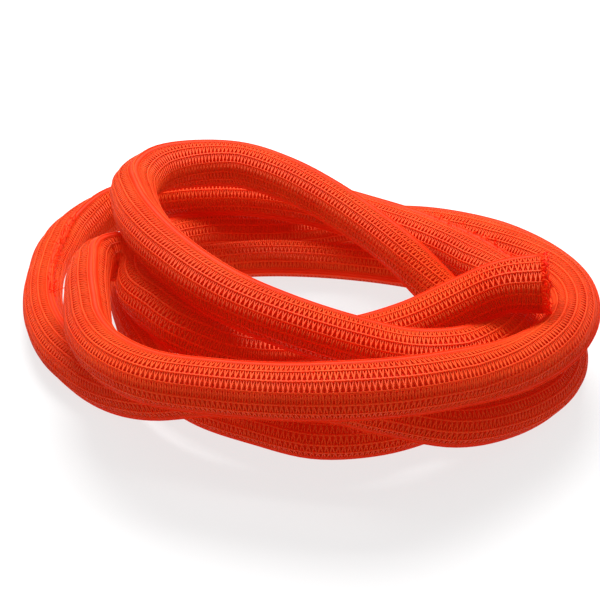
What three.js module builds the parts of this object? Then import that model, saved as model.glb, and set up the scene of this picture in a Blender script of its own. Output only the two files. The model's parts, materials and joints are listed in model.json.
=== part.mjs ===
// A length of round knitted sleeve for covering cables, lying in a loose coil on a level surface.
// Millimetres, +Z up, +X to the right along the coil's length.
import * as THREE from 'three';

// Driving sizes
const SLEEVE_DIAMETER = 20; // outside
const WALL = 1; // thickness of the knit
const PASS_CLEARANCE = 0.4; // air left between passes that lie on each other
const SECTION_SIDES = 12; // flats round the section, one of them facing down
const STEPS = 184; // sections along the sleeve

// The lay of the sleeve: centreline points, counted in passes (a sleeve diameter and the
// clearance). The height of a pass that lies on the surface is half a pass.
const PASS = SLEEVE_DIAMETER + PASS_CLEARANCE;
const FLOOR = 0.5;

// The visible end lies on top at the right, and the sleeve runs back from it under the top loop.
const VISIBLE_END = [
  [4.70, -2.18, 2.55], [4.00, -2.10, 2.45], [3.25, -2.05, 2.07], [2.20, -2.10, 1.55],
  [1.10, -2.15, 1.20], [-0.10, -2.15, 1.00], [-1.25, -2.10, 1.05], [-2.26, -1.83, 1.35],
  [-2.82, -1.33, 1.49],
];

// A tight turn back at the left, lying against the lowest loop.
const LEFT_HAIRPIN = [
  [-3.24, -0.72, 1.50], [-3.36, -0.20, 1.50], [-3.37, 0.29, 1.50], [-3.52, 0.66, 1.52],
  [-3.88, 0.82, 1.59], [-4.25, 0.66, 1.65], [-4.40, 0.29, 1.70], [-4.42, -0.25, 1.74],
  [-4.37, -1.00, 1.73], [-4.25, -1.80, 1.68], [-4.08, -2.60, 1.66], [-3.60, -3.56, 1.73],
  [-2.70, -4.52, 1.88],
];

// The long front run and the outer turn at the right, both lying on other passes.
const FRONT_RUN = [
  [-1.50, -5.02, 2.00], [-0.35, -5.28, 2.07], [0.75, -5.42, 2.17], [1.85, -5.27, 2.17],
  [2.95, -4.70, 2.00], [4.00, -3.95, 1.80], [4.90, -3.05, 1.75], [5.45, -1.90, 1.70],
  [5.55, -0.65, 1.65], [5.20, 0.45, 1.60],
];

// Down along the back to the surface, round the inside left and forward to the lowest front run.
const LOWEST_LOOP = [
  [4.40, 1.65, 1.50], [3.20, 2.75, 1.30], [2.20, 3.45, 1.05], [1.25, 4.00, 0.75],
  [0.15, 4.20, 0.53], [-1.00, 4.15, FLOOR], [-2.15, 4.16, FLOOR], [-3.14, 3.83, FLOOR],
  [-3.78, 2.80, FLOOR], [-3.88, 1.60, FLOOR], [-3.62, 0.30, FLOOR], [-3.17, -1.15, FLOOR],
  [-2.65, -2.38, FLOOR], [-1.85, -3.20, FLOOR], [-0.80, -3.80, FLOOR], [0.30, -4.25, FLOOR],
  [1.45, -4.15, FLOOR], [2.45, -3.68, FLOOR], [3.32, -3.00, FLOOR], [3.85, -2.00, FLOOR],
  [4.00, -1.00, FLOOR],
];

// Up from the surface to the left into the top loop, and down its front to the right.
const TOP_LOOP = [
  [3.76, -0.33, 0.58], [3.07, 0.12, 1.05], [2.27, 0.87, 1.60], [1.45, 1.68, 1.95],
  [0.55, 2.45, 2.25], [-0.35, 3.10, 2.45], [-1.40, 3.55, 2.60], [-2.55, 3.60, 2.60],
  [-3.30, 3.25, 2.60], [-3.70, 2.45, 2.57], [-3.60, 1.45, 2.55], [-3.20, 0.15, 2.55],
  [-2.50, -1.05, 2.44], [-1.45, -2.10, 2.25], [-0.30, -2.75, 2.05], [0.95, -3.05, 1.75],
  [2.05, -3.15, 1.52], [3.10, -3.10, 1.52], [4.05, -2.50, 1.49], [4.57, -1.45, 1.40],
];

// Back to the left over the lowest passes, and down to the surface as the widest loop.
const WIDEST_LOOP = [
  [4.52, -0.43, 1.43], [3.77, 0.81, 1.51], [2.67, 1.92, 1.57], [1.45, 2.92, 1.55],
  [0.15, 3.75, 1.55], [-1.40, 4.35, 1.50], [-2.90, 4.80, 1.30], [-3.90, 5.12, 1.00],
  [-4.90, 5.04, 0.70], [-5.57, 4.30, 0.53], [-5.82, 3.20, FLOOR], [-5.84, 2.05, FLOOR],
  [-5.72, 0.90, FLOOR], [-5.45, -0.20, FLOOR], [-4.95, -1.30, FLOOR], [-4.30, -2.15, FLOOR],
];

// Over the lowest front run, down to the surface at the right and back inside to the hidden end.
const LAST_LOOP = [
  [-3.60, -2.92, 0.63], [-2.80, -3.63, 0.95], [-1.75, -4.08, 1.33], [-0.60, -4.35, 1.45],
  [0.55, -4.56, 1.52], [1.65, -4.72, 1.34], [2.83, -4.57, 0.99], [3.93, -3.85, 0.70],
  [4.82, -2.94, 0.57], [5.38, -1.90, FLOOR], [5.48, -0.78, FLOOR], [5.03, 0.37, FLOOR],
  [4.25, 1.30, FLOOR], [3.25, 2.00, FLOOR], [2.20, 2.45, FLOOR], [0.65, 2.80, FLOOR],
  [-0.95, 2.88, FLOOR], [-2.40, 2.60, FLOOR],
];

const LAY = [
  ...VISIBLE_END, ...LEFT_HAIRPIN, ...FRONT_RUN, ...LOWEST_LOOP, ...TOP_LOOP, ...WIDEST_LOOP,
  ...LAST_LOOP,
];

// A curve that the surface holds up, with sections that stay upright, so that one flat of the
// section always faces down.
class LyingCurve extends THREE.CatmullRomCurve3 {
  getPoint(t, target) {
    const point = super.getPoint(t, target);
    point.z = Math.max(point.z, FLOOR * PASS);
    return point;
  }

  computeFrenetFrames(segments) {
    const up = new THREE.Vector3(0, 0, 1);
    const tangents = [];
    const normals = [];
    const binormals = [];
    for (let i = 0; i <= segments; i++) {
      const tangent = this.getTangentAt(i / segments);
      const normal = new THREE.Vector3().crossVectors(up, tangent).normalize();
      tangents.push(tangent);
      normals.push(normal);
      binormals.push(new THREE.Vector3().crossVectors(tangent, normal));
    }
    return { tangents, normals, binormals };
  }
}

// The corners of a regular outline with a flat side at the bottom.
function flatBottomed(radius) {
  const corners = [];
  for (let i = 0; i < SECTION_SIDES; i++) {
    const angle = ((i + 0.5) / SECTION_SIDES) * 2 * Math.PI - Math.PI / 2;
    corners.push(new THREE.Vector2(radius * Math.cos(angle), radius * Math.sin(angle)));
  }
  return corners;
}

function ringSection() {
  const section = new THREE.Shape(flatBottomed(SLEEVE_DIAMETER / 2));
  section.holes.push(new THREE.Path(flatBottomed(SLEEVE_DIAMETER / 2 - WALL)));
  return section;
}

// The knitted tube, open at both ends.
function makeSleeve() {
  const points = LAY.map(([x, y, z]) => new THREE.Vector3(x, y, z).multiplyScalar(PASS));
  const geometry = new THREE.ExtrudeGeometry(ringSection(), {
    steps: STEPS,
    extrudePath: new LyingCurve(points),
  });
  const orangeMonofilament = new THREE.MeshStandardMaterial({
    color: 0xe8401c,
    roughness: 0.45,
    metalness: 0,
  });
  const sleeve = new THREE.Mesh(geometry, orangeMonofilament);
  sleeve.name = 'sleeve';
  return sleeve;
}

const coil = new THREE.Group();
const sleeve = makeSleeve();
coil.add(sleeve);

// The origin is under the middle of the coil, on the surface that it lies on.
const box = new THREE.Box3().setFromObject(sleeve);
sleeve.position.set(-(box.min.x + box.max.x) / 2, -(box.min.y + box.max.y) / 2, -box.min.z);

export default coil;
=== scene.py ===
import json
import math

import bpy
import numpy as np
from mathutils import Vector
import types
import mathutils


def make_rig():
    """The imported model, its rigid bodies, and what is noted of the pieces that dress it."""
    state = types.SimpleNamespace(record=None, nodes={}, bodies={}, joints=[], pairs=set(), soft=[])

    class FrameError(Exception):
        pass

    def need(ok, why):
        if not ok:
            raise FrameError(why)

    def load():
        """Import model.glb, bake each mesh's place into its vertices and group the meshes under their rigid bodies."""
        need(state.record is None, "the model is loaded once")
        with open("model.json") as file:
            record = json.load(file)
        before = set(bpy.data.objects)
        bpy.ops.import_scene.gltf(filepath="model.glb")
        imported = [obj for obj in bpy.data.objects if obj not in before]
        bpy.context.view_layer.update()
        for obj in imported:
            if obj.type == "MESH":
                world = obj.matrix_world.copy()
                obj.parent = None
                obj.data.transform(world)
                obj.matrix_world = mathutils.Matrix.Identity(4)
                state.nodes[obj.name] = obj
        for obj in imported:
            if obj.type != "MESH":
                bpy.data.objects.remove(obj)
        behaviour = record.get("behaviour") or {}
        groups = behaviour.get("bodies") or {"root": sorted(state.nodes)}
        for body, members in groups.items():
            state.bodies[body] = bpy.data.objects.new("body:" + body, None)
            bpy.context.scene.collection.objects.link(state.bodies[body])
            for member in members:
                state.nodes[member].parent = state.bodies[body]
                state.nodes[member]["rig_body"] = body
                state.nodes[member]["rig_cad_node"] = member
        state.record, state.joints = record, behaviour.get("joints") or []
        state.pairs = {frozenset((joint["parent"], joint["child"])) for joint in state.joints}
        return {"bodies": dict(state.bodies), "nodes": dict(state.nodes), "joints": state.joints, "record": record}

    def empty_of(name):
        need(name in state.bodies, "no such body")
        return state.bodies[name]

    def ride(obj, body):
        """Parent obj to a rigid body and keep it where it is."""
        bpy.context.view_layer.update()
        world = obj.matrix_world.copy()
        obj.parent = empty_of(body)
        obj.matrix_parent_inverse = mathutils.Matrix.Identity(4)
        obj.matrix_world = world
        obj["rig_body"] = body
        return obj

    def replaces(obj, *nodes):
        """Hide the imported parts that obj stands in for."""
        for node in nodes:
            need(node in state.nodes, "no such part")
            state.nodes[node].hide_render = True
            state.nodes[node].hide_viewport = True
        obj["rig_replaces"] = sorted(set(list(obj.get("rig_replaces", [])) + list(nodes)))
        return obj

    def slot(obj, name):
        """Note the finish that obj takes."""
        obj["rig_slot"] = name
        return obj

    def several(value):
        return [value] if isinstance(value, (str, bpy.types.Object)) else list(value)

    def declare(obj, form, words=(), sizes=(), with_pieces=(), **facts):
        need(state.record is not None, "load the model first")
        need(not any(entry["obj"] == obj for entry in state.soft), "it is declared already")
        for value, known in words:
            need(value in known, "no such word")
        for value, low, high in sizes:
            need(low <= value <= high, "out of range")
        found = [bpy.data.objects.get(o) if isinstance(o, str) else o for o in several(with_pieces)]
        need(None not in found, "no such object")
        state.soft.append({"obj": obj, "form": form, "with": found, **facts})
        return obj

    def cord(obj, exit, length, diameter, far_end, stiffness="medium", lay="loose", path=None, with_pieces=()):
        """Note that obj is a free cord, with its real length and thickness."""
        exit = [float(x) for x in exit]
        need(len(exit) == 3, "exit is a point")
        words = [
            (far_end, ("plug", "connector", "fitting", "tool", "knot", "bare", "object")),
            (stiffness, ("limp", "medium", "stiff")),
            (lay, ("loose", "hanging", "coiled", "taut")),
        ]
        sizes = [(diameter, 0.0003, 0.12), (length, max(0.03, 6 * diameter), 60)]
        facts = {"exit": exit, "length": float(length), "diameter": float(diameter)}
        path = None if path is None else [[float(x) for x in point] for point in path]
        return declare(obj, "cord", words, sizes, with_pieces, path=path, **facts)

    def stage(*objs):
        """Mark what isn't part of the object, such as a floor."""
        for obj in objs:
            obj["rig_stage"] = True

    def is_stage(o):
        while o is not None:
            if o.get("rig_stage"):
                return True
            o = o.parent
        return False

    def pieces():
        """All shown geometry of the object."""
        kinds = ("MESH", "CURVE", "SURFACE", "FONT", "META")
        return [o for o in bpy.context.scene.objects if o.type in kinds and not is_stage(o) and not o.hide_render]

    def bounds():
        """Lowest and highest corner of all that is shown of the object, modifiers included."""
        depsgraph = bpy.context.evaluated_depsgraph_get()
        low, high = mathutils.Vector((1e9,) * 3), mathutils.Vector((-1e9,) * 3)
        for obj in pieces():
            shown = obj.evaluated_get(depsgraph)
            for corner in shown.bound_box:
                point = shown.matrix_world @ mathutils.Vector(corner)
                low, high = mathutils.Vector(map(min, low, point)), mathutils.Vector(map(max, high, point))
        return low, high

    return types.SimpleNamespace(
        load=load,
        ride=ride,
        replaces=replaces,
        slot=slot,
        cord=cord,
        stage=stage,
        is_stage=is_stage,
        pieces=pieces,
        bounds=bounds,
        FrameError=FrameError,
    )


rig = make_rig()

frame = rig.load()
cad_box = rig.bounds()

# Driving sizes, in metres
SLEEVE_DIAMETER = 0.020
PASS_CLEARANCE = 0.0004
WALES = 14  # lengthwise ribs of stitches round the tube
COURSE = 0.00186  # from one stitch to the next along a rib
WALE_WIDTH = 0.0011
WALE_NECK = 0.0007  # where one stitch runs into the next
WALE_THICKNESS = 0.0004
THREAD_WIDTH = 0.00087  # the doubled thread that zigzags between two ribs
THREAD_THICKNESS = 0.0004
OUTER_DEPTH = 0.0004  # from the tube's surface to the middle of a rib or thread
INNER_WIDTH = 0.0012  # the threads behind, which close most of the holes
INNER_DEPTH = 0.0008  # the same for a thread behind
CREST_WIDTH = 0.0006  # the outer edge of a crease
FILAMENT = 0.0003  # one loose filament

# The photograph's camera, for a frame 600 pixels wide
FOCAL_PIXELS = 1300
FRAME_PIXELS = 600
SENSOR_MM = 36
NEAR_CLIP = 0.01
TILT = math.radians(29)
EYE = (0, -24.4, 14.5)  # in passes, from the middle of the lay on the surface

# The lay of the sleeve: centreline points, counted in passes (a sleeve diameter and the
# clearance). The height of a pass that lies on the surface is half a pass.
PASS = SLEEVE_DIAMETER + PASS_CLEARANCE
FLOOR = 0.5
VISIBLE_END = [
    (4.70, -2.18, 2.55), (4.00, -2.10, 2.45), (3.25, -2.05, 2.07), (2.20, -2.10, 1.55),
    (1.10, -2.15, 1.20), (-0.10, -2.15, 1.00), (-1.25, -2.10, 1.05), (-2.26, -1.83, 1.35),
    (-2.82, -1.33, 1.49),
]
LEFT_HAIRPIN = [
    (-3.24, -0.72, 1.50), (-3.36, -0.20, 1.50), (-3.37, 0.29, 1.50), (-3.52, 0.66, 1.52),
    (-3.88, 0.82, 1.59), (-4.25, 0.66, 1.65), (-4.40, 0.29, 1.70), (-4.42, -0.25, 1.74),
    (-4.37, -1.00, 1.73), (-4.25, -1.80, 1.68), (-4.08, -2.60, 1.66), (-3.60, -3.56, 1.73),
    (-2.70, -4.52, 1.88),
]
FRONT_RUN = [
    (-1.50, -5.02, 2.00), (-0.35, -5.28, 2.07), (0.75, -5.42, 2.17), (1.85, -5.27, 2.17),
    (2.95, -4.70, 2.00), (4.00, -3.95, 1.80), (4.90, -3.05, 1.75), (5.45, -1.90, 1.70),
    (5.55, -0.65, 1.65), (5.20, 0.45, 1.60),
]
LOWEST_LOOP = [
    (4.40, 1.65, 1.50), (3.20, 2.75, 1.30), (2.20, 3.45, 1.05), (1.25, 4.00, 0.75),
    (0.15, 4.20, 0.53), (-1.00, 4.15, FLOOR), (-2.15, 4.16, FLOOR), (-3.14, 3.83, FLOOR),
    (-3.78, 2.80, FLOOR), (-3.88, 1.60, FLOOR), (-3.62, 0.30, FLOOR), (-3.17, -1.15, FLOOR),
    (-2.65, -2.38, FLOOR), (-1.85, -3.20, FLOOR), (-0.80, -3.80, FLOOR), (0.30, -4.25, FLOOR),
    (1.45, -4.15, FLOOR), (2.45, -3.68, FLOOR), (3.32, -3.00, FLOOR), (3.85, -2.00, FLOOR),
    (4.00, -1.00, FLOOR),
]
TOP_LOOP = [
    (3.76, -0.33, 0.58), (3.07, 0.12, 1.05), (2.27, 0.87, 1.60), (1.45, 1.68, 1.95),
    (0.55, 2.45, 2.25), (-0.35, 3.10, 2.45), (-1.40, 3.55, 2.60), (-2.55, 3.60, 2.60),
    (-3.30, 3.25, 2.60), (-3.70, 2.45, 2.57), (-3.60, 1.45, 2.55), (-3.20, 0.15, 2.55),
    (-2.50, -1.05, 2.44), (-1.45, -2.10, 2.25), (-0.30, -2.75, 2.05), (0.95, -3.05, 1.75),
    (2.05, -3.15, 1.52), (3.10, -3.10, 1.52), (4.05, -2.50, 1.49), (4.57, -1.45, 1.40),
]
WIDEST_LOOP = [
    (4.52, -0.43, 1.43), (3.77, 0.81, 1.51), (2.67, 1.92, 1.57), (1.45, 2.92, 1.55),
    (0.15, 3.75, 1.55), (-1.40, 4.35, 1.50), (-2.90, 4.75, 1.30), (-3.88, 5.04, 1.00),
    (-4.86, 4.94, 0.70), (-5.54, 4.22, 0.53), (-5.82, 3.20, FLOOR), (-5.84, 2.05, FLOOR),
    (-5.72, 0.90, FLOOR), (-5.45, -0.20, FLOOR), (-4.95, -1.30, FLOOR), (-4.30, -2.15, FLOOR),
]
LAST_LOOP = [
    (-3.60, -2.92, 0.63), (-2.80, -3.63, 0.95), (-1.75, -4.08, 1.33), (-0.60, -4.35, 1.45),
    (0.55, -4.56, 1.52), (1.65, -4.72, 1.34), (2.83, -4.57, 0.99), (3.93, -3.85, 0.70),
    (4.82, -2.94, 0.57), (5.38, -1.90, FLOOR), (5.48, -0.78, FLOOR), (5.03, 0.37, FLOOR),
    (4.25, 1.30, FLOOR), (3.25, 2.00, FLOOR), (2.20, 2.45, FLOOR), (0.65, 2.80, FLOOR),
    (-0.95, 2.88, FLOOR), (-2.40, 2.60, FLOOR),
]
LAY = (
    VISIBLE_END + LEFT_HAIRPIN + FRONT_RUN + LOWEST_LOOP + TOP_LOOP + WIDEST_LOOP + LAST_LOOP
)
POINTS_PER_SPAN = 40


def along(points):
    """A smooth curve through the points, as close-set points: a centripetal Catmull-Rom spline."""
    p = np.array(points, float)
    p = np.vstack([2 * p[0] - p[1], p, 2 * p[-1] - p[-2]])
    share = np.linspace(0, 1, POINTS_PER_SPAN, endpoint=False)[:, None]
    spans = []
    for a, b, c, d in zip(p, p[1:], p[2:], p[3:]):
        before, here, after = (math.sqrt(np.linalg.norm(v)) for v in (b - a, c - b, d - c))
        start = ((b - a) / before - (c - a) / (before + here) + (c - b) / here) * here
        end = ((c - b) / here - (d - b) / (here + after) + (d - c) / after) * here
        cubic = 2 * (b - c) + start + end
        square = 3 * (c - b) - 2 * start - end
        spans.append(b + start * share + square * share**2 + cubic * share**3)
    return np.vstack(spans + [p[-2:-1]])


def distances(points):
    """How far along the line each of its points lies."""
    steps = np.linalg.norm(np.diff(points, axis=0), axis=1)
    return np.concatenate([[0], np.cumsum(steps)])


def unit(vectors):
    return vectors / np.linalg.norm(vectors, axis=-1, keepdims=True)


class Route:
    """The centreline, cut into half courses, with an upright pair of directions at each station."""

    def __init__(self):
        line = along(LAY)
        line[:, 2] = np.maximum(line[:, 2], FLOOR)
        line *= PASS
        middle = (line.min(0) + line.max(0)) / 2
        self.shift = np.array([-middle[0], -middle[1], SLEEVE_DIAMETER / 2 - FLOOR * PASS])
        line += self.shift
        far = distances(line)
        self.length = far[-1]
        self.courses = round(self.length / COURSE)
        self.far = np.linspace(0, self.length, 2 * self.courses + 1)
        self.points = np.stack([np.interp(self.far, far, line[:, k]) for k in range(3)], axis=1)
        self.tangent = unit(np.gradient(self.points, axis=0))
        self.side = unit(np.cross([0, 0, 1], self.tangent))
        self.up = np.cross(self.tangent, self.side)
        knots = distances(line)[::POINTS_PER_SPAN]
        self.knot = np.interp(self.far, knots, np.arange(len(knots)))

    def outward(self, angle):
        """Unit directions out of the tube. Angle 0 is to the side and a quarter turn is up."""
        angle = np.broadcast_to(angle, self.far.shape)[:, None]
        return np.cos(angle) * self.side + np.sin(angle) * self.up

    def outward_at(self, station, angle):
        """The same at one station."""
        return math.cos(angle) * self.side[station] + math.sin(angle) * self.up[station]


route = Route()


def photograph_camera():
    camera = bpy.data.objects.new("camera", bpy.data.cameras.new("camera"))
    bpy.context.collection.objects.link(camera)
    camera.data.sensor_width = SENSOR_MM
    camera.data.lens = SENSOR_MM * FOCAL_PIXELS / FRAME_PIXELS
    camera.data.clip_start = NEAR_CLIP
    camera.location = np.array(EYE) * PASS + route.shift
    camera.rotation_euler = (math.pi / 2 - TILT, 0, 0)
    bpy.context.scene.camera = camera


photograph_camera()


# The knit

# The slow wander of the knit along the sleeve: a few waves, each shorter than the last
WAVES = 5
LONGEST_WAVE = 0.35  # metres
WAVE_RATIO = 1.7  # of one wave's length to the next one's
WAVE_FADE = 0.5  # how much each further wave adds to what a wave is divided by


def ripple(seed, size):
    """A smooth, seeded wander along the sleeve of about the given size."""
    picked = np.random.default_rng(seed)
    total = np.zeros_like(route.far)
    for k in range(WAVES):
        wavelength = LONGEST_WAVE / (WAVE_RATIO**k)
        phase = picked.uniform(0, 2 * math.pi)
        total += np.sin(2 * math.pi * route.far / wavelength + phase) / (1 + WAVE_FADE * k)
    return size * total / 2


def stretch(table):
    """Values by knot of the lay, eased from one to the next."""
    knots, values = zip(*table)
    return np.interp(route.knot, knots, values)


# How wide the sleeve lies, as a share of its diameter, at knots of the lay
WIDTH = stretch([
    (0, 1.14), (1, 1.03), (3, 1.0), (5, 1.0), (7, 1.06), (10, 1.12), (13, 1.08), (15, 0.97),
    (18, 1.0), (22, 0.98), (24, 1.03), (27, 1.02), (31, 1.0), (43, 1.0), (52, 0.98), (54, 0.9),
    (56, 0.9), (58, 0.98), (60, 1.06), (62, 1.1), (64, 1.1), (67, 1.02), (78, 1.0), (80, 1.12),
    (81, 1.1), (82.5, 1.0), (84, 0.9), (86, 0.94), (88, 1.0), (99, 0.98), (101, 0.92),
    (106, 0.92),
])
# The sleeve was packed flat, which left two creases along it, opposite each other. This is
# where the first one runs round the tube, in degrees: 0 is to the side and 90 is up.
CREASE = np.radians(stretch([
    (0, 300), (8, 306), (13, 285), (16, 255), (19, 241), (26, 241), (28, 205), (30, 160),
    (32, 125), (38, 119), (42, 90), (45, 61), (50, 61), (52, 0), (55, -61), (59, -61),
    (62, -90), (65, -121), (70, -121), (72, -175), (74, -225), (77, -228), (80, -245),
    (83, -300), (87, -299), (97, -299), (99, -340), (103, -380), (106, -380),
]))
# How far a crease stands out at its crest, and how low the tube lies away from it, as shares
# of the tube's radius
CREASE_CREST = stretch([(0, 0.08), (71, 0.08), (73, 0.16), (77, 0.14), (79, 0.08), (106, 0.08)])
CREASE_DIP = 0.02
CREASE_SPREAD = 0.13  # radians
CREASE_STEP = 4  # stations from one section of a crease's strips to the next
CREASED = (WALES // 2 - 1, WALES - 1)  # the gaps between ribs that the two creases run in

UNEVEN = 0.008  # of the radius, along the sleeve
UNEVEN_SEED = 7
WALE_WANDER = 0.02  # radians


def radius(angle):
    """The tube's radius at that angle, with a crest along both creases."""
    off = np.angle(np.exp(2j * (angle - CREASE))) / 2
    crest = CREASE_CREST * np.exp(-((off / CREASE_SPREAD) ** 2)) - CREASE_DIP
    return SLEEVE_DIAMETER / 2 * WIDTH * (1 + crest + ripple(UNEVEN_SEED, UNEVEN))


def under_surface(angle, depth):
    """Points along the tube at that angle and depth, and the way out of the tube there."""
    out = route.outward(angle)
    return route.points + out * (radius(angle) - depth)[:, None], out


def prism_strip(centre, wide, thick):
    """Corner points of a flat strip, lifted where it would dip into the surface below.

    Its half widths and half thicknesses are given as vectors.
    """
    centre = centre.copy()
    centre[:, 2] = np.maximum(centre[:, 2], np.abs(wide[:, 2]) + np.abs(thick[:, 2]))
    over, under = centre + thick, centre - thick
    return np.stack([over + wide, over - wide, under - wide, under + wide], axis=1)


def strip_mesh(name, strips):
    """One mesh from strips, each a row of four-cornered sections, closed at both ends."""
    corners, quads, first = [], [], 0
    for strip in strips:
        count = len(strip)
        corners.append(strip.reshape(-1, 3))
        ring = first + 4 * np.arange(count - 1)[:, None]
        for k in range(4):
            after = (k + 1) % 4
            quads.append(np.hstack([ring + k, ring + after, ring + 4 + after, ring + 4 + k]))
        last = first + 4 * (count - 1)
        quads.append(np.array([[first + 3, first + 2, first + 1, first]]))
        quads.append(np.array([[last, last + 1, last + 2, last + 3]]))
        first += 4 * count
    corners, quads = np.vstack(corners), np.vstack(quads)
    mesh = bpy.data.meshes.new(name)
    mesh.vertices.add(len(corners))
    mesh.vertices.foreach_set("co", corners.ravel())
    mesh.loops.add(quads.size)
    mesh.loops.foreach_set("vertex_index", quads.ravel().astype(np.int32))
    mesh.polygons.add(len(quads))
    mesh.polygons.foreach_set("loop_start", np.arange(0, quads.size, 4, dtype=np.int32))
    mesh.update(calc_edges=True)
    piece = bpy.data.objects.new(name, mesh)
    bpy.context.collection.objects.link(piece)
    return piece


def wale_angle(number):
    """Where a rib runs round the tube: counted from the crease, with a slight wander."""
    return CREASE + 2 * math.pi * (number + 0.5) / WALES + ripple(number % WALES, WALE_WANDER)


def wale_strip(number):
    """A rib: wide at each stitch and narrow between two."""
    centre, out = under_surface(wale_angle(number), OUTER_DEPTH)
    around = np.cross(route.tangent, out)
    stitch = np.where(np.arange(len(route.far)) % 2 == number % 2, WALE_WIDTH, WALE_NECK)[:, None]
    return prism_strip(centre, around * stitch / 2, out * WALE_THICKNESS / 2)


def zigzag_strip(number, inner=False):
    """The thread that runs to and fro between two ribs, or its mirror image under it."""
    here, after = wale_angle(number), wale_angle(number + 1)
    turn = np.arange(len(route.far)) % 2 == (number + inner) % 2
    width, depth = (INNER_WIDTH, INNER_DEPTH) if inner else (THREAD_WIDTH, OUTER_DEPTH)
    centre, out = under_surface(np.where(turn, here, after), depth)
    return prism_strip(centre, route.tangent * width / 2, out * THREAD_THICKNESS / 2)


def crest_strip(number):
    """The fine line along the top of a crease."""
    centre, out = under_surface(CREASE + number * math.pi, THREAD_THICKNESS / 2)
    around = np.cross(route.tangent, out)
    return prism_strip(centre, around * CREST_WIDTH / 2, out * THREAD_THICKNESS / 2)[::CREASE_STEP]


def flank_strip(number, way):
    """The closed knit that slopes from the top of a crease down to the rib beside it."""
    angle = CREASE + number * math.pi
    top = under_surface(angle, THREAD_THICKNESS)[0]
    foot = under_surface(angle + way * math.pi / WALES, THREAD_THICKNESS)[0]
    wide = (foot - top) * way
    thick = unit(np.cross(wide, route.tangent)) * THREAD_THICKNESS
    return prism_strip((top + foot) / 2, wide / 2, thick / 2)[::CREASE_STEP]


def knit():
    """All the pieces of the sleeve. Each layer is cut in two to keep its meshes small."""
    ribs = range(WALES)
    gaps = [n for n in ribs if n not in CREASED]
    half = WALES // 2
    return [
        strip_mesh("wales_1", [wale_strip(n) for n in ribs[:half]]),
        strip_mesh("wales_2", [wale_strip(n) for n in ribs[half:]]),
        strip_mesh("zigzag_1", [zigzag_strip(n) for n in gaps[: half - 1]]),
        strip_mesh("zigzag_2", [zigzag_strip(n) for n in gaps[half - 1 :]]),
        strip_mesh("inner_1", [zigzag_strip(n, True) for n in ribs[:half]]),
        strip_mesh("inner_2", [zigzag_strip(n, True) for n in ribs[half:]]),
        strip_mesh("crests", [crest_strip(n) for n in range(2)]),
        strip_mesh("flanks", [flank_strip(n, way) for n in range(2) for way in (-1, 1)]),
        *frays(),
    ]


# Loose filaments. Their spreads are shares of a direction of length 1.

FRAY_SEED = 11
FILAMENT_STEPS = 6
SLANT = (0.31, 0.52, 0.79)  # no filament runs this way, so its section can be turned by it

# At a cut end
ENDS = ((0, -1), (-1, 1))  # the station, and whether on or back along the sleeve is out
HAIRS_PER_WALE = 3
HAIR_LENGTHS = (0.0015, 0.0045)
HAIR_SPREAD = 0.3
HAIR_FLARE = 0.3  # out of the tube
HAIR_SWAY = 0.6  # round the tube
HAIR_CURL = 0.5  # into the tube, at most

# Open stitches at a cut end
LOOPS_PER_WALE = 2
LOOP_SIZES = (0.0012, 0.0024)
LOOP_STEPS = 9
LOOP_FEET = 0.4  # radians past a half circle at each foot
LOOP_LIFT = 0.4  # how far along the sleeve the circle's middle lies, as a share of its radius
LOOP_LEAN = (0.3, 0.4)  # out of the tube: mean and spread

# Along the first crease: from one knot of the lay to another, and how many
WORN = ((82, 85.5, 80), (73, 75, 60))
WORN_LENGTHS = (0.0012, 0.003)
WORN_SPREAD = 0.5
WORN_BREADTH = 0.09  # radians to each side of the crease


def filament(start, heading, drift, length):
    """A thin thread from a point, bending from its heading towards the drift."""
    share = np.linspace(0, 1, FILAMENT_STEPS)[:, None]
    line = start + length * (heading * share + drift * share**2)
    along_it = unit(np.gradient(line, axis=0))
    wide = unit(np.cross(along_it, SLANT))
    thick = np.cross(along_it, wide)
    return prism_strip(line, wide * FILAMENT / 2, thick * FILAMENT / 2)


def loop(start, forth, across, size):
    """An open stitch: a doubled thread that goes out from a point and comes back beside it."""
    turn = np.linspace(-LOOP_FEET, math.pi + LOOP_FEET, LOOP_STEPS)[:, None]
    line = start + size * ((np.sin(turn) + LOOP_LIFT) * forth + np.cos(turn) * across)
    wide = unit(np.cross(unit(np.gradient(line, axis=0)), np.cross(forth, across)))
    thick = unit(np.cross(forth, across)) * np.ones_like(line)
    return prism_strip(line, wide * FILAMENT, thick * FILAMENT)


def crease_hairs(picked, first, last, count):
    """Broken filaments that stand up along the first crease between two knots of the lay."""
    stations = np.flatnonzero((route.knot > first) & (route.knot < last))
    for station in picked.choice(stations, count, replace=False):
        out = route.outward_at(station, CREASE[station] + picked.normal(0, WORN_BREADTH))
        start = route.points[station] + out * SLEEVE_DIAMETER / 2 * WIDTH[station]
        heading = unit(out + picked.normal(0, WORN_SPREAD, 3))
        drift = picked.normal(0, WORN_SPREAD, 3)
        yield filament(start, heading, drift, picked.uniform(*WORN_LENGTHS))


def cut_end(station, outwards, count, depth):
    """Places round a cut end: a point, the way out along the sleeve, round it and out of it."""
    tangent = route.tangent[station] * outwards
    reach = SLEEVE_DIAMETER / 2 * WIDTH[station] - depth
    for number in range(count):
        out = route.outward_at(station, 2 * math.pi * number / count)
        yield route.points[station] + out * reach, tangent, np.cross(tangent, out), out


def end_hairs(picked, station, outwards):
    """The loose filaments at a cut end."""
    places = cut_end(station, outwards, HAIRS_PER_WALE * WALES, OUTER_DEPTH)
    for start, tangent, around, out in places:
        heading = unit(tangent + picked.normal(0, HAIR_SPREAD, 3) + HAIR_FLARE * out)
        drift = picked.normal(0, HAIR_SWAY) * around - picked.uniform(0, HAIR_CURL) * out
        yield filament(start, heading, drift, picked.uniform(*HAIR_LENGTHS))


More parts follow.
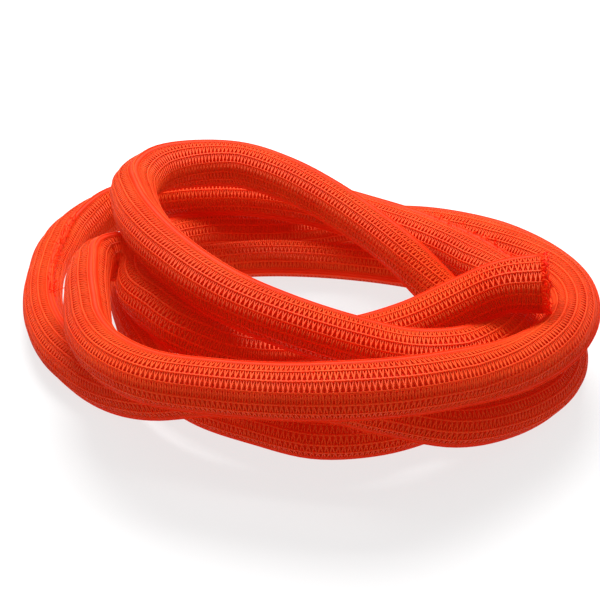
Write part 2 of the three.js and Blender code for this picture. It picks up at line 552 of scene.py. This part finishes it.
def end_loops(picked, station, outwards, depth):
    """The stitches left open at a cut end, each a loop that leans out or in."""
    places = cut_end(station, outwards, LOOPS_PER_WALE * WALES, depth)
    for start, tangent, around, out in places:
        forth = unit(tangent + picked.normal(*LOOP_LEAN) * out)
        yield loop(start, forth, around, picked.uniform(*LOOP_SIZES))


def frays():
    """The loose threads of both ends and of the crease; those of the inner layer are a piece."""
    picked = np.random.default_rng(FRAY_SEED)
    under = [strip for end in ENDS for strip in end_loops(picked, *end, INNER_DEPTH)]
    over = [strip for end in ENDS for strip in end_loops(picked, *end, OUTER_DEPTH)]
    over += [strip for end in ENDS for strip in end_hairs(picked, *end)]
    over += [strip for worn in WORN for strip in crease_hairs(picked, *worn)]
    return [strip_mesh("frays", over), strip_mesh("inner_frays", under)]


# Materials

# Of the thread, by where it lies: the colours of its darker and lighter spots, and its painted glow, which stands in
# for light passed through and bounced in the knit. The threads behind and the crease flanks are painted darker, as
# shade.
OUTSIDE = ((0.84, 0.080, 0.010), (0.87, 0.112, 0.016), 0.24)
# Painted shade: the threads behind are a darker red than those outside, with a stronger painted glow in the holes
BEHIND_PAINTED_SHADE = ((0.70, 0.020, 0.004), (0.74, 0.028, 0.005), 0.32)
# Painted shade: the flanks beside the creases are a darker red, as the shade in the grooves there
CLOSED_PAINTED_SHADE = ((0.74, 0.050, 0.008), (0.76, 0.065, 0.011), 0.20)
SPOT_SCALE = 60
SPOT_DETAIL = 3
SPOT_RANGE = (0.35, 0.7)  # of the noise, from all dark to all light
THREAD_ROUGHNESS = 0.5
THREAD_SPECULAR = 0.09
THREAD_IOR = 1.5
# Painted glow: the thread gives off light of its own, standing in for light passed through and bounced in the knit
PAINTED_GLOW_COLOUR = (1.0, 0.03, 0.005, 1)
THROUGH_COLOUR = (0.9, 0.03, 0.005, 1)
THROUGH_SHARE = 0.55  # of the light that the thread passes on

PAPER_COLOUR = (0.13, 0.13, 0.13, 1)
PAPER_ROUGHNESS = 0.8
PAPER_GLOW_COLOUR = (1, 1, 1, 1)
PAPER_GLOW = 0.76


def monofilament(name, darker, lighter, painted_glow):
    """Plastic thread with a soft shine that passes some light, a little uneven in colour, with a painted glow."""
    material = bpy.data.materials.new(name)
    material.use_nodes = True
    nodes, links = material.node_tree.nodes, material.node_tree.links
    nodes.clear()
    output = nodes.new("ShaderNodeOutputMaterial")
    shader = nodes.new("ShaderNodeBsdfPrincipled")
    through = nodes.new("ShaderNodeBsdfTranslucent")
    mix = nodes.new("ShaderNodeMixShader")
    spots = nodes.new("ShaderNodeTexNoise")
    colours = nodes.new("ShaderNodeValToRGB")
    place = nodes.new("ShaderNodeTexCoord")
    spots.inputs["Scale"].default_value = SPOT_SCALE
    spots.inputs["Detail"].default_value = SPOT_DETAIL
    for stop, colour, position in zip(colours.color_ramp.elements, (darker, lighter), SPOT_RANGE):
        stop.color = (*colour, 1)
        stop.position = position
    shader.inputs["Roughness"].default_value = THREAD_ROUGHNESS
    shader.inputs["Specular IOR Level"].default_value = THREAD_SPECULAR
    shader.inputs["IOR"].default_value = THREAD_IOR
    # The painted glow, which lifts the shaded parts of the knit
    shader.inputs["Emission Color"].default_value = PAINTED_GLOW_COLOUR
    shader.inputs["Emission Strength"].default_value = painted_glow
    through.inputs["Color"].default_value = THROUGH_COLOUR
    mix.inputs["Fac"].default_value = THROUGH_SHARE
    links.new(place.outputs["Object"], spots.inputs["Vector"])
    links.new(spots.outputs["Fac"], colours.inputs["Fac"])
    links.new(colours.outputs["Color"], shader.inputs["Base Color"])
    links.new(shader.outputs["BSDF"], mix.inputs[1])
    links.new(through.outputs["BSDF"], mix.inputs[2])
    links.new(mix.outputs["Shader"], output.inputs["Surface"])
    return material


def white_paper():
    """A ground so bright of its own that the sleeve leaves only a faint shadow on it."""
    material = bpy.data.materials.new("white_paper")
    material.use_nodes = True
    shader = material.node_tree.nodes["Principled BSDF"]
    shader.inputs["Base Color"].default_value = PAPER_COLOUR
    shader.inputs["Roughness"].default_value = PAPER_ROUGHNESS
    shader.inputs["Emission Color"].default_value = PAPER_GLOW_COLOUR
    shader.inputs["Emission Strength"].default_value = PAPER_GLOW
    return material


# The sleeve in the scene


def dress():
    outside = monofilament("orange_monofilament", *OUTSIDE)
    # A copy of the thread painted darker as shade, for the threads behind and their loose ends
    behind = monofilament("orange_monofilament_behind", *BEHIND_PAINTED_SHADE)
    # A copy of the thread painted darker as shade, for the crease flanks
    closed = monofilament("orange_monofilament_closed", *CLOSED_PAINTED_SHADE)
    pieces = knit()
    for piece in pieces:
        kind = piece.name.split("_")[0]
        piece.data.materials.append({"inner": behind, "flanks": closed}.get(kind, outside))
        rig.ride(piece, "root")
        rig.slot(piece, "orange_monofilament")
    body, others = pieces[0], pieces[1:]
    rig.replaces(body, "sleeve")
    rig.cord(
        body,
        exit=tuple(route.points[0]),
        length=route.length,
        diameter=SLEEVE_DIAMETER,
        far_end="bare",
        stiffness="limp",
        lay="loose",
        path=route.points[::8],
        with_pieces=others,
    )


dress()


# Floor and light

FLOOR_REACH = 30  # metres, so that its edge lies beyond the horizon of a low view
WORLD_LEAN = math.radians(35)  # the bright half of the world leans to the back
WORLD_DARK = (0.03, 0.03, 0.03, 1)
WORLD_BRIGHT = (1, 1, 1, 1)
WORLD_RANGE = (0.2, 0.8)  # of the way up, from all dark to all bright
WORLD_STRENGTH = 0.8
KEY_PLACE = (0, 0.5, 0.76)  # behind the coil and above it, as in the photograph
KEY_TARGET = (0, 0, 0.03)
KEY_SIZE = (0.7, 0.45)
KEY_WATTS = 24


def studio():
    reach = FLOOR_REACH
    floor_mesh = bpy.data.meshes.new("floor")
    floor_mesh.from_pydata(
        [(-reach, -reach, 0), (reach, -reach, 0), (reach, reach, 0), (-reach, reach, 0)],
        [],
        [(0, 1, 2, 3)],
    )
    floor = bpy.data.objects.new("floor", floor_mesh)
    bpy.context.collection.objects.link(floor)
    floor.data.materials.append(white_paper())
    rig.stage(floor)
    world = bpy.data.worlds.new("studio")
    world.use_nodes = True
    nodes, links = world.node_tree.nodes, world.node_tree.links
    place = nodes.new("ShaderNodeTexCoord")
    apart = nodes.new("ShaderNodeSeparateXYZ")
    lean = nodes.new("ShaderNodeMapping")
    lean.inputs["Rotation"].default_value = (WORLD_LEAN, 0, 0)
    dome = nodes.new("ShaderNodeValToRGB")
    stops = zip(dome.color_ramp.elements, (WORLD_DARK, WORLD_BRIGHT), WORLD_RANGE)
    for stop, colour, position in stops:
        stop.color = colour
        stop.position = position
    links.new(place.outputs["Generated"], lean.inputs["Vector"])
    links.new(lean.outputs["Vector"], apart.inputs["Vector"])
    links.new(apart.outputs["Z"], dome.inputs["Fac"])
    links.new(dome.outputs["Color"], nodes["Background"].inputs["Color"])
    nodes["Background"].inputs["Strength"].default_value = WORLD_STRENGTH
    bpy.context.scene.world = world


def softbox(name, place, target, size, watts):
    light = bpy.data.lights.new(name, "AREA")
    light.shape = "RECTANGLE"
    light.size, light.size_y = size
    light.energy = watts
    lamp = bpy.data.objects.new(name, light)
    bpy.context.collection.objects.link(lamp)
    lamp.location = place
    aim = Vector(target) - Vector(place)
    lamp.rotation_euler = aim.to_track_quat("-Z", "Y").to_euler()


studio()
softbox("key", KEY_PLACE, KEY_TARGET, KEY_SIZE, KEY_WATTS)
bpy.context.scene.view_settings.view_transform = "Standard"

with open("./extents.json", "w") as out:
    json.dump({"cad": [list(c) for c in cad_box], "visual": [list(c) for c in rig.bounds()]}, out)
